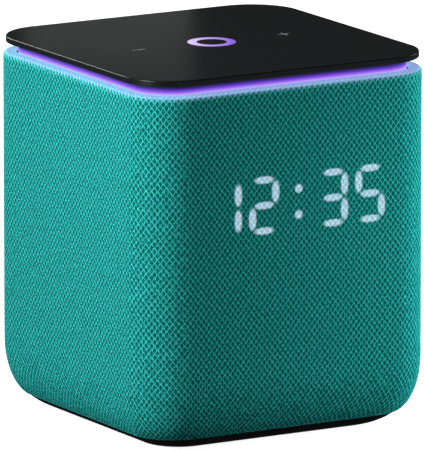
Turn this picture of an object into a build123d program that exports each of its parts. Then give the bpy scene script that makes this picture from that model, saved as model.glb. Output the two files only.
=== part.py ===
from build123d import *
import os
from math import cos, hypot, radians, sin, sqrt

os.makedirs("parts", exist_ok=True)

# A fabric-wrapped smart speaker with a clock, as a bench technician would find it.
# Millimetres. +Z is up, the clock faces -Y, and the origin is on the table under the middle.

# Outside
height = 150.0
body_width = 130.7
wall_corner = 19.0
panel_margin = 0.35
panel_corner = 20.7
panel_thickness = 2.5
light_gap = 4.0
glow_inset = 5.0
glow_clearance = 0.25

# The curved foot: a quarter of an ellipse, cut off at seam_turn by the base cover
foot_start = 28.2
foot_reach = 9.65
foot_drop = 23.2
seam_turn = 70.0
mouth_turn = 84
turn_step = 12
corner_loss = 0.34

# Skin and shell
fabric_thickness = 1.2
fabric_backing = 0.05
shell_wall = 2.4
hem_inset = 4.8
slot_pitch = 6.0
slot_width = 3.0
slots_each_way = 4
window_corner = 1.0
horn_margin = 1.0

# Base cover and foot pad
foot_proud = 1.0
pad_width = 90.0
pad_corner = 11.0
pad_thickness = 2.0
pad_clearance = 0.2
pad_edge = 0.4
base_bottom_width = 99.0
base_bottom_corner = 13.5
base_shoulder = 0.6
base_belly = 3.4
belly_swell = 1.0
base_floor = 3.0
spigot_clearance = 0.3
spigot_wall = 2.2
spigot_rise = 3.0
head_sink = 0.2

# Acoustic box
box_bottom = 10.0
box_body_height = 70.0
box_gap = 7.7
rear_space = 15.7
box_corner = 10.0
box_wall = 4.0
gasket_thickness = 0.6
gasket_margin = 0.4
lid_thickness = 3.0
post_inset = 14.0
post_rear_inset = 10.0
post_radius = 4.0
boss_radius = 3.5
boss_depth = 9.0
boss_cap = 1.5
lid_screw_inset = 8.0
lid_boss_depth = 12.0
wire_hole_inset = 10.0
wire_hole_clearance = 0.4
foam_thickness = 10.0
foam_width = 70.0
foam_height = 50.0
foam_corner = 4.0

# Drivers: one woofer in front, one passive radiator in each side
driver_z = 46.0
flange_width = 64.0
flange_corner = 6.0
flange_thickness = 2.0
flange_proud = 0.8
seal_thickness = 0.8
seat_clearance = 0.15
basket_radius = 29.0
basket_clearance = 0.3
driver_screw_pitch = 55.0
roll_outer = 26.5
roll_inner = 21.0
roll_lip = 1.6
roll_sheet = 0.6
coil_radius = 8.5
coil_wall = 0.6
coil_gap = 0.6
cone_neck = 11.2
cone_sheet = 0.6
cap_overlap = 1.3
cap_rise = 3.6
cap_sheet = 0.5
glue_gap = 0.05
cone_bevel = 0.2
cone_fillet = 0.3
basket_depth = 21.0
basket_sheet = 1.8
basket_taper = 4.0
basket_bend = 2.0
basket_bore_gap = 1.0
basket_window_radial = 8.0
basket_window_width = 16.0
basket_window_inset = 3.0
basket_window_start = 4.0
basket_window_depth = 7.0
spider_ledge_inner = 0.5
spider_ledge_outer = 4.4
spider_ledge_sheet = 1.6
terminal_width = 10.0
terminal_height = 5.0
terminal_sheet = 3.0
terminal_depth = 9.0
terminal_inset = 1.0
spider_depth = 13.4
spider_sheet = 0.4
spider_pitch = 2.3
spider_wave = 0.8
spider_waves = 6
spider_glue = 0.1
spider_rim = 3.2
radiator_collar = 8.0
radiator_sheet = 0.8
radiator_mass_depth = 4.0
radiator_mass_radius = 12.0
radiator_mass_slope = 1.0
plate_thickness = 4.0
magnet_thickness = 8.0
magnet_radius = 19.0
magnet_gap = 2.5
motor_radius = 20.0
vent_radius = 2.5

# Tweeters
tweeter_x = 30.0
tweeter_margin = 0.55
tweeter_flange_radius = 10.0
tweeter_can_radius = 8.6
tweeter_depth = 10.0
tweeter_flange = 1.2
dome_radius = 7.6
dome_wall = 0.4
dome_height = 2.2
dome_gap = 0.4
tweeter_sink = 1.0
tweeter_coil = 2.6
tweeter_gap_depth = 4.6
tweeter_pole_sink = 1.4
tweeter_fit = 0.2

# Clock
display_x = 1.2
display_drop = 52.6
digit_height = 24.0
digit_pitch = 16.8
digit_column = 10.4
digit_offset = 15.6
segment_width = 3.7
colon_rise = 5.2
segment_gap = 0.6
shaft_margin = 0.45
dot_margin = 0.2
led_size = 1.6
led_height = 0.8
display_board_margin = 3.0
lightbox_width = 86.0
lightbox_height = 27.0
film_thickness = 0.25
display_board_thickness = 1.6
bracket_thickness = 2.5
bracket_gap = 2.7
bracket_inset = 2.0
bracket_top_gap = 0.8
window_clearance = 0.4
cheek_length = 31.0
cheek_height = 28.0
bracket_foot = 8.5
bracket_foot_length = 9.0
bracket_screw_inset = 5.0
cheek_thickness = 2.4

# Top stack
tape_thickness = 0.3
touch_board_thickness = 1.6
touch_board_inset = 10.4
touch_board_corner = 6.0
frame_lip = 1.2
frame_fit = 0.25
frame_depth = 7.5
frame_floor = 1.8
tray_wall = 2.2
tray_ledge = 19.6
tray_window_corner = 5.0
led_board_width = 9.0
led_board_thickness = 1.2
ring_led_height = 0.8
ring_led_size = 1.8
ring_led_length = 3.0
ring_led_pitch = 12.0
ring_leds_per_side = 8
ring_led_margin = 0.1
diffuser_wall = 3.2
diffuser_foot = 1.1
diffuser_air = 0.4
mic_x = 19.2
mic_y = 12.5
mic_hole_radius = 0.5
mic_width = 3.5
mic_length = 2.7
mic_height = 1.0
ring_outer_radius = 9.6
ring_inner_radius = 6.0
ring_skin = 0.6
ring_fit = 0.1
tape_ring_gap = 0.2
tape_hole_gap = 0.3
panel_top_edge = 0.5
panel_bottom_edge = 0.3

# Electronics
board_side_gap = 2.0
board_end_gap = 14.0
board_thickness = 1.6
standoff_height = 11.4
standoff_inset = 5.0
standoff_radius = 3.0
wire_radius = 0.8
wire_bend = 2.5
tight_wire_bend = 1.5
tweeter_wire_x = 20.0
tweeter_wire_drop = 11.0
tweeter_wire_reach = 7.0
tweeter_plug_inset = 14.0
woofer_plug_inset = 7.0
woofer_wire_drop = 5.0
wire_over_lid = 3.4
terminal_rise = 1.5
plug_inset = 2.0
wire_rise = 7.0
power_wire_z = 8.0
power_wire_x = (8.0, 11.0)
power_wire_gap = 2.6
ribbon_width = 10.0
ribbon_thickness = 0.4
ribbon_bend = 2.0
ribbon_offset = 5.0
ribbon_rise = 15.0
display_plug_inset = 6.0
display_ribbon_z = 4.0
display_ribbon_drop = 6.0
processor_spot = (-6.0, 10.0)
processor_width = 14.0
processor_height = 1.5
amplifier_spot = (16.0, -14.0)
amplifier_width = 9.0
amplifier_height = 1.2
radio_spot = (-16.0, -14.0)
radio_width = 10.0
radio_length = 12.0
radio_height = 1.0
sink_width = 25.0
sink_base = 2.5
sink_fin = 1.0
sink_height = 11.0
fin_pitch = 4.0
fins_each_way = 3
antenna_x = 28.0
antenna_z = 112.0
antenna_width = 24.0
antenna_height = 7.0
antenna_thickness = 0.8

# Rear panel
rear_z = 44.0
rear_width = 50.0
rear_height = 22.0
rear_corner = 7.0
rear_recess = 0.8
rear_clearance = 0.25
rear_flange_width = 64.0
rear_flange_height = 28.0
rear_flange = 1.5
rear_board_gap = 6.6
rear_board_width = 48.0
rear_board_height = 24.0
rear_screw_x = 28.6
rear_post_z = 8.0
rear_edge = 0.4
rear_thread_depth = 3.0
flange_corner_margin = 2.0
shell_thread_depth = 2.0
socket_x = 11.0
socket_radius = 5.5
socket_bore = 3.2
socket_depth = 9.0
socket_pin = 1.0
socket_block = 13.0
socket_fit = 0.2
socket_sink = 0.5
socket_pin_sink = 1.0
button_x = -12.0
button_radius = 4.5
button_clearance = 0.25
button_proud = 0.45
button_flange_radius = 5.6
button_flange = 0.8
button_travel = 0.8
button_stem_radius = 1.5
button_stem = 1.6
button_edge = 0.5
button_flange_gap = 0.2
switch_gap = 0.05
switch_width = 6.0

# Screws, all one thread with a pan head
screw_radius = 1.2
screw_clearance = 0.35
thread_clearance = 0.05
head_radius = 2.3
head_height = 1.6
socket_size = 1.0
drive_depth = 0.9
hole_overrun = 0.5
base_screw_length = 12.0
driver_screw_length = 9.0
chassis_screw_length = 7.0
lid_screw_length = 9.0
rear_screw_length = 3.4

# Heights and distances that follow from the sizes above
body_half = body_width / 2
panel_half = body_half - panel_margin
panel_bottom = height - panel_thickness
sleeve_top = panel_bottom - light_gap
shell_depth = fabric_thickness + fabric_backing
inner_depth = shell_depth + shell_wall
shell_half = body_half - shell_depth
inner_half = body_half - inner_depth
inner_corner = wall_corner - inner_depth
seam = foot_start - foot_drop * sin(radians(seam_turn))
lip_top = sleeve_top - fabric_thickness - fabric_backing
shell_top = lip_top - frame_lip
frame_bottom = shell_top + frame_lip - frame_depth
frame_floor_top = frame_bottom + frame_floor
box_half = inner_half - box_gap
box_rear = inner_half - rear_space
box_middle = (box_rear - box_half) / 2
post_x = box_half - post_inset
box_top = box_bottom + box_body_height
lid_bottom = box_top + gasket_thickness
lid_top = lid_bottom + lid_thickness
main_board_z = lid_top + standoff_height
main_board_top = main_board_z + board_thickness
main_board_width = 2 * (post_x - post_radius - board_side_gap)
main_board_depth = box_half + box_rear - 2 * board_end_gap
main_board_rear = box_middle + main_board_depth / 2
main_board_front = box_middle - main_board_depth / 2
bracket_face = inner_half - bracket_gap
bracket_half = box_half - bracket_inset
bracket_top = frame_bottom - bracket_top_gap
bracket_foot_y = cheek_length - bracket_face - bracket_foot_length / 2
display_z = height - display_drop
tweeter_z = bracket_top - tweeter_flange_radius - tweeter_margin
tape_bottom = panel_bottom - tape_thickness
touch_board_z = tape_bottom - touch_board_thickness
driver_face = box_half + flange_proud
seat_depth = flange_thickness + seal_thickness - flange_proud
driver_bore = basket_radius + basket_clearance
film_face = body_half - shell_depth
lightbox_face = film_face - film_thickness
display_board_face = bracket_face - bracket_thickness
rear_inner = inner_half - rear_flange
rear_face = body_half - rear_recess
rear_board_face = rear_inner - rear_board_gap
base_floor_top = foot_proud + pad_thickness / 2 + base_floor

FRONT = (0, -1, 0)
REAR = (0, 1, 0)
LEFT = (-1, 0, 0)
RIGHT = (1, 0, 0)

post_spots = [(x, y) for x in (-post_x, post_x) for y in (-post_x, box_rear - post_rear_inset)]
lid_screw_x = box_half - lid_screw_inset
lid_screw_spots = [(x, y) for x in (-lid_screw_x, lid_screw_x)
                   for y in (-lid_screw_x, box_rear - lid_screw_inset)]
standoff_x = main_board_width / 2 - standoff_inset
standoff_spots = [(x, y) for x in (-standoff_x, standoff_x)
                  for y in (main_board_front + standoff_inset, main_board_rear - standoff_inset)]
driver_spots = [(x, y) for x in (-driver_screw_pitch / 2, driver_screw_pitch / 2)
                for y in (-driver_screw_pitch / 2, driver_screw_pitch / 2)]
mic_spots = [(x, y) for x in (-mic_x, mic_x) for y in (-mic_y, mic_y)]
bracket_screw_x = bracket_half - bracket_screw_inset
bracket_spots = [(x, bracket_foot_y) for x in (-bracket_screw_x, bracket_screw_x)]
flange_screw_spots = ((-rear_screw_x, 0), (rear_screw_x, 0))


def save(piece, name):
    """Label a finished piece and write it under its own name."""
    piece.part.label = name
    export_step(piece.part, f"parts/{name}.step")


def outward_plane(outward, distance, z, sideways=0.0):
    """A plane facing outward at a distance from the middle, its Y up, moved sideways along its X."""
    across = Vector(-outward[1], outward[0], 0)
    origin = Vector(*outward) * distance + across * sideways + Vector(0, 0, z)
    return Plane(origin=origin, x_dir=across, z_dir=outward)


def section_of(face):
    """The plane that holds a face's axis: X is the radius and Y the height above the face."""
    return Plane(origin=face.origin, x_dir=face.x_dir, z_dir=face.x_dir.cross(face.z_dir))


def turned(face, points, mode=Mode.ADD):
    """Revolve a closed outline of (radius, height) points about a face's axis."""
    with BuildSketch(section_of(face)) as outline:
        with BuildLine():
            Polyline(*points, close=True)
        make_face()
    revolve(outline.sketch, axis=Axis(face.origin, face.z_dir), mode=mode)


def disc(face, radius, amount, spots=((0, 0),), mode=Mode.ADD):
    """Round pegs or holes of one radius at spots on a face."""
    with BuildSketch(face) as circles:
        with Locations(*spots):
            Circle(radius)
    extrude(circles.sketch, amount=amount, mode=mode)


def block(face, width, length, amount, spots=((0, 0),), mode=Mode.ADD):
    """Rectangular blocks or cuts at spots on a face."""
    with BuildSketch(face) as rectangles:
        with Locations(*spots):
            Rectangle(width, length)
    extrude(rectangles.sketch, amount=amount, mode=mode)


def plate(face, width, length, corner, amount, mode=Mode.ADD):
    """A plate or a cut with rounded corners, centred on a face."""
    with BuildSketch(face) as outline:
        RectangleRounded(width, length, corner)
    extrude(outline.sketch, amount=amount, mode=mode)


def square(z, half, corner, amount, mode=Mode.ADD):
    """A level rounded square, half from the middle to each side, raised by amount."""
    plate(Plane.XY.offset(z), 2 * half, 2 * half, corner, amount, mode)


def foot_point(turn, depth):
    """Inset, height and corner radius of the body's form at a turn of the foot, set in by depth."""
    out = cos(radians(turn)) / foot_reach
    down = sin(radians(turn)) / foot_drop
    level = depth * out / hypot(out, down)
    lift = depth * down / hypot(out, down)
    curve_inset = foot_reach * (1 - cos(radians(turn)))
    z = foot_start - foot_drop * sin(radians(turn)) + lift
    return curve_inset + level, z, wall_corner - corner_loss * curve_inset - level


def foot_section(turn, depth):
    """The body's outline at one turn of the foot."""
    inset, z, corner = foot_point(turn, depth)
    with BuildSketch(Plane.XY.offset(z)) as outline:
        RectangleRounded(body_width - 2 * inset, body_width - 2 * inset, corner)
    return outline.sketch


def body_form(depth, top, mode=Mode.ADD):
    """The body's outside form set in by depth: a straight wall on a foot that curves in."""
    sections = [foot_section(turn, depth) for turn in range(0, mouth_turn + 1, turn_step)]
    loft(sections, mode=mode)
    extrude(sections[0], amount=top - foot_start, mode=mode)
    extrude(sections[-1], amount=-foot_drop / 4, mode=mode)


def screws(face, spots, length):
    """Pan-head screws at spots on a face, driven in to their length."""
    disc(face, head_radius, head_height, spots)
    disc(face, screw_radius, -length, spots)
    with BuildSketch(face.offset(head_height)) as drives:
        with Locations(*spots):
            RegularPolygon(socket_size, 6)
    extrude(drives.sketch, amount=-drive_depth, mode=Mode.SUBTRACT)


def clearance_holes(face, spots, depth):
    """Holes that a screw passes through."""
    disc(face, screw_radius + screw_clearance, -depth, spots, Mode.SUBTRACT)


def thread_holes(face, spots, depth):
    """Holes that a screw bites in."""
    disc(face, screw_radius + thread_clearance, -depth, spots, Mode.SUBTRACT)


def half_roll(face):
    """A rubber half roll with a lip each side, glued on the frame outside and on the cone inside."""
    middle = (roll_inner + roll_outer) / 2
    lip = roll_lip + roll_sheet
    with BuildSketch(section_of(face)) as roll:
        with Locations((middle, 0)):
            Circle((roll_outer - roll_inner) / 2)
            Circle((roll_outer - roll_inner) / 2 - roll_sheet, mode=Mode.SUBTRACT)
            Rectangle(roll_outer, roll_outer, align=(Align.CENTER, Align.MAX), mode=Mode.SUBTRACT)
        with Locations((roll_inner - roll_lip + lip / 2, 0), (roll_outer + roll_lip - lip / 2, 0)):
            Rectangle(lip, roll_sheet, align=(Align.CENTER, Align.MIN))
    revolve(roll.sketch, axis=Axis(face.origin, face.z_dir))


def dome(face, rim, rise, sheet):
    """A thin dome over a face, with its outside rim on the face."""
    ball = (rim ** 2 + rise ** 2) / (2 * rise)
    with BuildSketch(section_of(face)) as cap:
        with Locations((0, rise - ball)):
            Circle(ball)
            Circle(ball - sheet, mode=Mode.SUBTRACT)
        Rectangle(rim, rise, align=(Align.MIN, Align.MIN), mode=Mode.INTERSECT)
    revolve(cap.sketch, axis=Axis(face.origin, face.z_dir))


def driver_flange(face, thickness, bore):
    """A square flange or gasket with a round opening and four screw holes, behind a face."""
    plate(face, flange_width, flange_width, flange_corner, -thickness)
    disc(face, bore, -thickness, mode=Mode.SUBTRACT)
    clearance_holes(face, driver_spots, thickness)


def wire(points, bend):
    """A round wire along straight runs joined by bends."""
    with BuildLine() as path:
        FilletPolyline(*points, radius=bend)
    start = Plane(origin=path.line @ 0, z_dir=path.line % 0)
    with BuildSketch(start) as end:
        Circle(wire_radius)
    sweep(end.sketch, path=path.line)


def ribbon(points):
    """A flat flexible cable that bends in the YZ plane only."""
    with BuildSketch(Plane.YZ) as strip:
        with BuildLine():
            FilletPolyline(*points, radius=ribbon_bend)
        trace(line_width=ribbon_thickness)
    extrude(strip.sketch, amount=ribbon_width / 2, both=True)


def box_outline(z, inset):
    """The acoustic box's outline, set in from its outside."""
    with BuildSketch(Plane.XY.offset(z)) as outline:
        with Locations((0, box_middle)):
            RectangleRounded(2 * (box_half - inset), box_half + box_rear - 2 * inset, box_corner - inset)
    return outline.sketch


woofer_face = outward_plane(FRONT, driver_face, driver_z)
radiator_faces = {
    "left": outward_plane(LEFT, driver_face, driver_z, -box_middle),
    "right": outward_plane(RIGHT, driver_face, driver_z, box_middle),
}
driver_faces = [woofer_face, *radiator_faces.values()]
tweeter_faces = {
    "left": outward_plane(FRONT, bracket_face + tweeter_flange, tweeter_z, -tweeter_x),
    "right": outward_plane(FRONT, bracket_face + tweeter_flange, tweeter_z, tweeter_x),
}

# ---- Base ----

mouth_inset, mouth_z, mouth_corner = foot_point(mouth_turn, inner_depth)
spigot_half = body_half - mouth_inset - spigot_clearance
spigot_corner = mouth_corner - spigot_clearance
head_seat = Plane(origin=(0, 0, pad_thickness + head_height + head_sink), x_dir=(1, 0, 0), z_dir=(0, 0, -1))
under_spots = [(x, -y) for x, y in post_spots]

with BuildPart() as foot_pad:
    square(0, pad_width / 2, pad_corner, pad_thickness)
    fillet(foot_pad.edges().group_by(Axis.Z)[0], pad_edge)
save(foot_pad, "foot_pad")

with BuildPart() as base_cover:
    shoulder_inset, shoulder_z, shoulder_corner = foot_point(seam_turn, 0)
    with BuildSketch(Plane.XY.offset(foot_proud)) as bottom:
        RectangleRounded(base_bottom_width, base_bottom_width, base_bottom_corner)
    with BuildSketch(Plane.XY.offset(base_belly)) as belly:
        belly_width = (base_bottom_width + body_width - 2 * shoulder_inset) / 2 + belly_swell
        RectangleRounded(belly_width, belly_width, (base_bottom_corner + shoulder_corner) / 2)
    with BuildSketch(Plane.XY.offset(seam)) as shoulder:
        shoulder_width = body_width - 2 * (shoulder_inset + base_shoulder)
        RectangleRounded(shoulder_width, shoulder_width, shoulder_corner)
    loft([bottom.sketch, belly.sketch, shoulder.sketch])
    square(seam, spigot_half, spigot_corner, spigot_rise)
    square(base_floor_top, spigot_half - spigot_wall, spigot_corner - spigot_wall, height, Mode.SUBTRACT)
    disc(Plane.XY.offset(base_floor_top), post_radius, box_bottom - base_floor_top, post_spots)
    square(0, pad_width / 2 + pad_clearance, pad_corner + pad_clearance, pad_thickness, Mode.SUBTRACT)
    disc(head_seat, head_radius + screw_clearance, head_height + head_sink, under_spots, Mode.SUBTRACT)
    clearance_holes(head_seat, under_spots, box_bottom)
save(base_cover, "base_cover")

with BuildPart() as base_screws:
    screws(head_seat, under_spots, base_screw_length)
save(base_screws, "base_screws")

# ---- Skin and shell ----

with BuildPart() as fabric_sleeve:
    body_form(0, sleeve_top)
    body_form(fabric_thickness, sleeve_top - fabric_thickness, Mode.SUBTRACT)
    square(foot_start, body_half - hem_inset, wall_corner - hem_inset, height, Mode.SUBTRACT)
    split(bisect_by=Plane.XY.offset(seam), keep=Keep.TOP)
    plate(outward_plane(REAR, 0, rear_z), rear_width + 2 * rear_clearance, rear_height + 2 * rear_clearance,
          rear_corner + rear_clearance, body_width, Mode.SUBTRACT)
save(fabric_sleeve, "fabric_sleeve")

with BuildPart() as grille_shell:
    body_form(shell_depth, shell_top)
    body_form(inner_depth, height, Mode.SUBTRACT)
    split(bisect_by=Plane.XY.offset(seam), keep=Keep.TOP)
    plate(outward_plane(REAR, 0, rear_z), rear_width + 2 * rear_clearance, rear_height + 2 * rear_clearance,
          rear_corner + rear_clearance, body_width, Mode.SUBTRACT)
    thread_holes(outward_plane(REAR, inner_half + shell_thread_depth, rear_z), flange_screw_spots,
                 shell_thread_depth + hole_overrun)
    plate(outward_plane(FRONT, 0, display_z, display_x), lightbox_width + 2 * window_clearance,
          lightbox_height + 2 * window_clearance, window_corner, body_width, Mode.SUBTRACT)
    for face in tweeter_faces.values():
        disc(face.offset(-bracket_face), tweeter_flange_radius - horn_margin, body_width, mode=Mode.SUBTRACT)
    for face in driver_faces:
        with BuildSketch(face) as slots:
            for step in range(-slots_each_way, slots_each_way + 1):
                reach = sqrt(roll_outer ** 2 - (slot_pitch * step) ** 2)
                with Locations((slot_pitch * step, 0)):
                    SlotOverall(2 * reach, slot_width, rotation=90)
        extrude(slots.sketch, amount=body_half, mode=Mode.SUBTRACT)
save(grille_shell, "grille_shell")

# ---- Acoustic box ----

with BuildPart() as speaker_box:
    extrude(box_outline(box_bottom, 0), amount=box_body_height)
    extrude(box_outline(box_bottom + box_wall, box_wall), amount=box_body_height, mode=Mode.SUBTRACT)
    disc(Plane.XY.offset(box_bottom), post_radius, box_wall + boss_depth, post_spots)
    disc(Plane.XY.offset(box_top), boss_radius, -lid_boss_depth, lid_screw_spots)
    for face in driver_faces:
        disc(face.offset(-flange_proud), boss_radius, -boss_depth, driver_spots)
        plate(face, flange_width + 2 * seat_clearance, flange_width + 2 * seat_clearance,
              flange_corner + seat_clearance, -seat_depth - flange_proud, Mode.SUBTRACT)
        disc(face, driver_bore, -box_wall - flange_proud, mode=Mode.SUBTRACT)
        thread_holes(face, driver_spots, driver_screw_length + hole_overrun)
    thread_holes(Plane.XY.offset(box_bottom + box_wall + boss_depth - boss_cap), post_spots,
                 box_wall + boss_depth)
    thread_holes(Plane.XY.offset(box_top), lid_screw_spots, lid_screw_length)
save(speaker_box, "speaker_box")

with BuildPart() as box_gasket:
    extrude(box_outline(box_top, gasket_margin), amount=gasket_thickness)
    extrude(box_outline(box_top, box_wall - gasket_margin), amount=gasket_thickness, mode=Mode.SUBTRACT)
save(box_gasket, "box_gasket")

wire_hole = (0, wire_hole_inset - box_half)
with BuildPart() as box_lid:
    extrude(box_outline(lid_bottom, 0), amount=lid_thickness)
    disc(Plane.XY.offset(lid_top), post_radius, frame_bottom - lid_top, post_spots)
    disc(Plane.XY.offset(lid_top), standoff_radius, standoff_height, standoff_spots)
    thread_holes(Plane.XY.offset(frame_bottom), post_spots, chassis_screw_length)
    thread_holes(Plane.XY.offset(main_board_z), standoff_spots, chassis_screw_length)
    clearance_holes(Plane.XY.offset(lid_top), lid_screw_spots, lid_thickness)
    thread_holes(Plane.XY.offset(lid_top), bracket_spots, lid_thickness)
    disc(Plane.XY.offset(lid_top), wire_radius + wire_hole_clearance, -lid_thickness, (wire_hole,),
         Mode.SUBTRACT)
save(box_lid, "box_lid")

with BuildPart() as box_lid_screws:
    screws(Plane.XY.offset(lid_top), lid_screw_spots, lid_screw_length)
save(box_lid_screws, "box_lid_screws")

with BuildPart() as damping_foam:
    foam_back = outward_plane(REAR, box_rear - box_wall, driver_z)
    plate(foam_back, foam_width, foam_height, foam_corner, -foam_thickness)
save(damping_foam, "damping_foam")

# ---- Woofer ----

plate_back = basket_depth + plate_thickness
magnet_back = plate_back + magnet_thickness
yoke_back = magnet_back + plate_thickness

with BuildPart() as woofer_basket:
    driver_flange(woofer_face, flange_thickness, roll_outer)
    turned(woofer_face, [
        (basket_radius - basket_sheet, -flange_thickness),
        (basket_radius, -flange_thickness),
        (motor_radius + basket_taper, -basket_depth),
        (coil_radius + basket_bore_gap, -basket_depth),
        (coil_radius + basket_bore_gap, -basket_depth + basket_sheet),
        (motor_radius + basket_bend, -basket_depth + basket_sheet),
    ])
    with BuildSketch(woofer_face.offset(-basket_window_start)) as windows:
        with PolarLocations(basket_radius - basket_window_inset, 4, start_angle=45):
            Rectangle(basket_window_radial, basket_window_width)
    extrude(windows.sketch, amount=-basket_window_depth, mode=Mode.SUBTRACT)
    turned(woofer_face, [
        (motor_radius + spider_ledge_inner, -spider_depth),
        (motor_radius + spider_ledge_outer, -spider_depth),
        (motor_radius + spider_ledge_outer, -spider_depth - spider_ledge_sheet),
        (motor_radius + spider_ledge_inner, -spider_depth - spider_ledge_sheet),
    ])
    block(woofer_face.offset(-terminal_depth), terminal_width, terminal_height, -terminal_sheet,
          ((0, basket_radius - terminal_inset),))
save(woofer_basket, "woofer_basket")

with BuildPart() as woofer_top_plate:
    hole = coil_radius + coil_gap
    turned(woofer_face, [(hole, -basket_depth), (motor_radius, -basket_depth),
                         (motor_radius, -plate_back), (hole, -plate_back)])
save(woofer_top_plate, "woofer_top_plate")

with BuildPart() as woofer_magnet:
    bore = coil_radius + magnet_gap
    turned(woofer_face, [(bore, -plate_back), (magnet_radius, -plate_back),
                         (magnet_radius, -magnet_back), (bore, -magnet_back)])
save(woofer_magnet, "woofer_magnet")

with BuildPart() as woofer_yoke:
    pole = coil_radius - coil_wall - coil_gap
    turned(woofer_face, [(vent_radius, -basket_depth), (pole, -basket_depth), (pole, -magnet_back),
                         (motor_radius, -magnet_back), (motor_radius, -yoke_back), (vent_radius, -yoke_back)])
save(woofer_yoke, "woofer_yoke")

with BuildPart() as woofer_cone:
    rim = roll_inner - roll_lip
    neck = coil_radius + glue_gap
    turned(woofer_face, [
        (roll_inner, 0),
        (roll_inner, -cone_sheet),
        (rim + cone_fillet, -cone_sheet),
        (neck + cone_sheet, -cone_neck),
        (neck, -cone_neck),
        (neck, -cone_neck + cone_sheet),
        (rim - cone_bevel, 0),
    ])
save(woofer_cone, "woofer_cone")

with BuildPart() as woofer_coil:
    turned(woofer_face, [(coil_radius - coil_wall, -cone_neck), (coil_radius, -cone_neck),
                         (coil_radius, -plate_back), (coil_radius - coil_wall, -plate_back)])
save(woofer_coil, "woofer_coil")

with BuildPart() as woofer_dust_cap:
    cap_rim = coil_radius + cap_overlap
    cone_slope = (cone_neck - cone_sheet) / (rim - cone_bevel - neck)
    cap_seat = woofer_face.offset(glue_gap - cone_slope * (rim - cone_bevel - cap_rim))
    dome(cap_seat, cap_rim, cap_rise, cap_sheet)
save(woofer_dust_cap, "woofer_dust_cap")

with BuildPart() as woofer_surround:
    half_roll(woofer_face)
save(woofer_surround, "woofer_surround")

with BuildPart() as woofer_spider:
    spider_top = spider_sheet - spider_depth
    waves = [(coil_radius + spider_glue + spider_pitch * step, spider_top + spider_wave * (step % 2))
             for step in range(spider_waves)]
    crest = waves + [(motor_radius + spider_rim, spider_top)]
    trough = [(radius, z - spider_sheet) for radius, z in reversed(crest)]
    turned(woofer_face, crest + trough)
save(woofer_spider, "woofer_spider")

# ---- Passive radiators ----

for side, face in radiator_faces.items():
    with BuildPart() as radiator_frame:
        driver_flange(face, flange_thickness, roll_outer)
        turned(face, [(basket_radius - basket_sheet, -flange_thickness), (basket_radius, -flange_thickness),
                      (basket_radius, -radiator_collar), (basket_radius - basket_sheet, -radiator_collar)])
    save(radiator_frame, f"radiator_frame_{side}")

    with BuildPart() as radiator_surround:
        half_roll(face)
    save(radiator_surround, f"radiator_surround_{side}")

    with BuildPart() as radiator_plate:
        turned(face, [(0, 0), (roll_inner, 0), (roll_inner, -radiator_sheet),
                      (radiator_mass_radius + radiator_mass_slope, -radiator_sheet),
                      (radiator_mass_radius, -radiator_mass_depth), (0, -radiator_mass_depth)])
    save(radiator_plate, f"radiator_plate_{side}")

with BuildPart() as driver_gaskets:
    for face in driver_faces:
        driver_flange(face.offset(-flange_thickness), seal_thickness, driver_bore)
save(driver_gaskets, "driver_gaskets")

with BuildPart() as driver_screws:
    for face in driver_faces:
        screws(face, driver_spots, driver_screw_length)
save(driver_screws, "driver_screws")

# ---- Clock and tweeters on the front bracket ----

bracket_plane = outward_plane(FRONT, bracket_face, 0)

with BuildPart() as front_bracket:
    with BuildSketch(bracket_plane) as face_outline:
        with Locations((0, (lid_top + bracket_top) / 2)):
            Rectangle(2 * bracket_half, bracket_top - lid_top)
        with Locations((display_x, display_z)):
            Rectangle(lightbox_width + window_clearance, lightbox_height + window_clearance,
                      mode=Mode.SUBTRACT)
        with Locations((-tweeter_x, tweeter_z), (tweeter_x, tweeter_z)):
            Circle(tweeter_can_radius + tweeter_fit, mode=Mode.SUBTRACT)
    extrude(face_outline.sketch, amount=-bracket_thickness)
    for side in (-1, 1):
        with BuildSketch(Plane.XY.offset(lid_top)) as cheek:
            with Locations((side * (bracket_half - cheek_thickness / 2), cheek_length / 2 - bracket_face)):
                Rectangle(cheek_thickness, cheek_length)
        extrude(cheek.sketch, amount=cheek_height)
        with BuildSketch(Plane.XY.offset(lid_top)) as foot:
            with Locations((side * (bracket_half - bracket_foot / 2), bracket_foot_y)):
                Rectangle(bracket_foot, bracket_foot_length)
        extrude(foot.sketch, amount=bracket_thickness)
    clearance_holes(Plane.XY.offset(lid_top + bracket_thickness), bracket_spots, bracket_thickness)
save(front_bracket, "front_bracket")


def segment_spots():
    """Middle and direction of every light shaft: four seven-bar digits and two colon dots."""
    bars = []
    arm = digit_height / 2 - segment_width / 2
    outer = digit_offset + digit_pitch
    for middle in (-outer, -digit_offset, digit_offset, outer):
        for x in (-digit_column / 2, digit_column / 2):
            bars += [(middle + x, arm / 2, 90), (middle + x, -arm / 2, 90)]
        bars += [(middle, y, 0) for y in (-arm, 0, arm)]
    return bars


clock_face = outward_plane(FRONT, lightbox_face, display_z, display_x)
lightbox_depth = lightbox_face - display_board_face
shaft_length = {0: digit_column - segment_width, 90: digit_height / 2 - segment_width - segment_gap}

with BuildPart() as display_lightbox:
    block(clock_face, lightbox_width, lightbox_height, -lightbox_depth)
    with BuildSketch(clock_face) as shafts:
        for x, y, angle in segment_spots():
            with Locations((x, y)):
                SlotOverall(shaft_length[angle], segment_width - 2 * shaft_margin, rotation=angle)
        with Locations((0, -colon_rise), (0, colon_rise)):
            Circle(segment_width / 2 - dot_margin)
    extrude(shafts.sketch, amount=-lightbox_depth, mode=Mode.SUBTRACT)
save(display_lightbox, "display_lightbox")

with BuildPart() as display_film:
    block(clock_face, lightbox_width, lightbox_height, film_thickness)
save(display_film, "display_film")

with BuildPart() as display_board:
    board_face = outward_plane(FRONT, display_board_face, display_z, display_x)
    block(board_face, lightbox_width + 2 * display_board_margin, lightbox_height, -display_board_thickness)
save(display_board, "display_board")

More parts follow.
